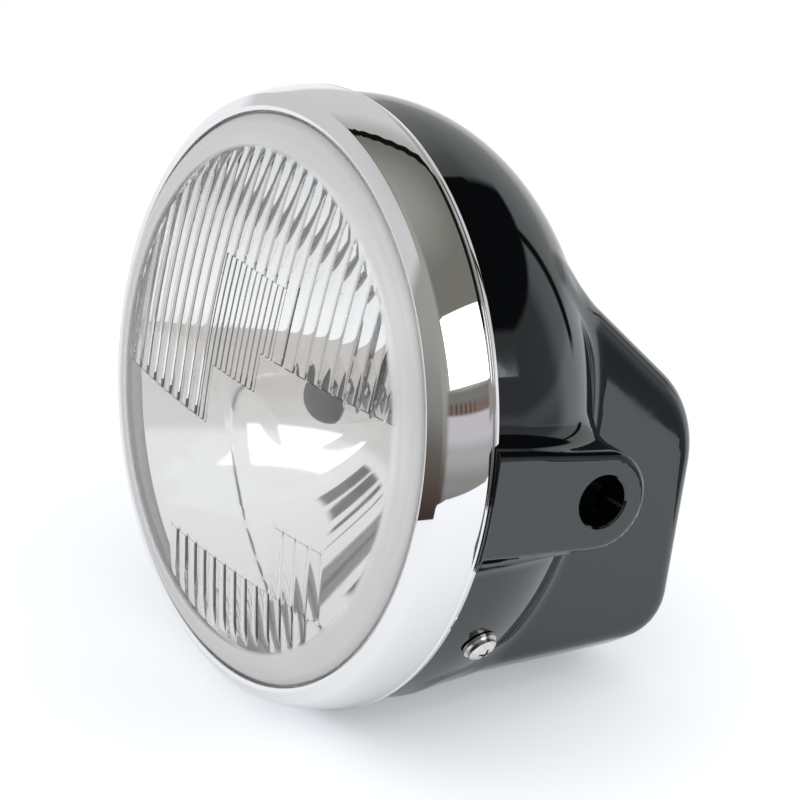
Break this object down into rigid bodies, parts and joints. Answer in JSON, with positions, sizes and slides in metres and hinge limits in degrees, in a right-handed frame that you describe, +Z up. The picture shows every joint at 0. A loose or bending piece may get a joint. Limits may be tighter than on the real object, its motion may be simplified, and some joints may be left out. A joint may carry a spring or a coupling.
{
  "type": "round motorcycle headlight",
  "caption": "Round motorcycle headlight: black moulded bucket with side lugs and rear housing, chrome trim ring, clear ribbed lens, parabolic reflector and two-filament bulb",
  "frame": {"origin": "midway between the two side mounting holes, on their common axis", "axes": "+X to the lamp's left side (as the rider sees it, a mounting hole's axis), +Y rearward along the lamp axis, +Z up; the lamp shines along -Y"},
  "size_m": [0.194, 0.1341, 0.19],
  "materials": {
    "black_shell": "gloss black moulded plastic, smooth",
    "chrome_rim": "bright chrome plate",
    "clear_lens": "clear pressed lens, ribbed inside",
    "mirror_coat": "vacuum-coated mirror",
    "black_rubber": "matte black rubber",
    "pale_seal": "pale grey sealing rubber, satin",
    "zinc_sheet": "zinc-plated sheet steel",
    "bulb_metal": "satin nickel-plated metal",
    "bulb_envelope": "clear glass with a dark tip",
    "filament_wire": "drawn tungsten and steel wire",
    "screw_plate": "bright zinc plate"
  },
  "bodies": {
    "root": {"shell": "black_shell", "rim": "chrome_rim", "lens": "clear_lens", "lens_seal": "pale_seal", "reflector": "mirror_coat", "rim_gasket": "pale_seal", "rim_catches": "zinc_sheet", "unit_clips": "zinc_sheet", "bulb_seat_ring": "zinc_sheet", "bulb_base": "bulb_metal", "bulb_terminals": "bulb_metal", "bulb_glass": "bulb_envelope", "low_beam_filament": "filament_wire", "high_beam_filament": "filament_wire", "filament_supports": "filament_wire", "dip_shield": "filament_wire", "bulb_clip": "zinc_sheet", "dust_boot": "black_rubber", "rim_hook": "zinc_sheet", "rim_brackets": "zinc_sheet", "rim_screws": "screw_plate", "rim_washers": "screw_plate", "clip_nuts": "zinc_sheet", "wiring_grommet": "black_rubber"}
  },
  "joints": []
}
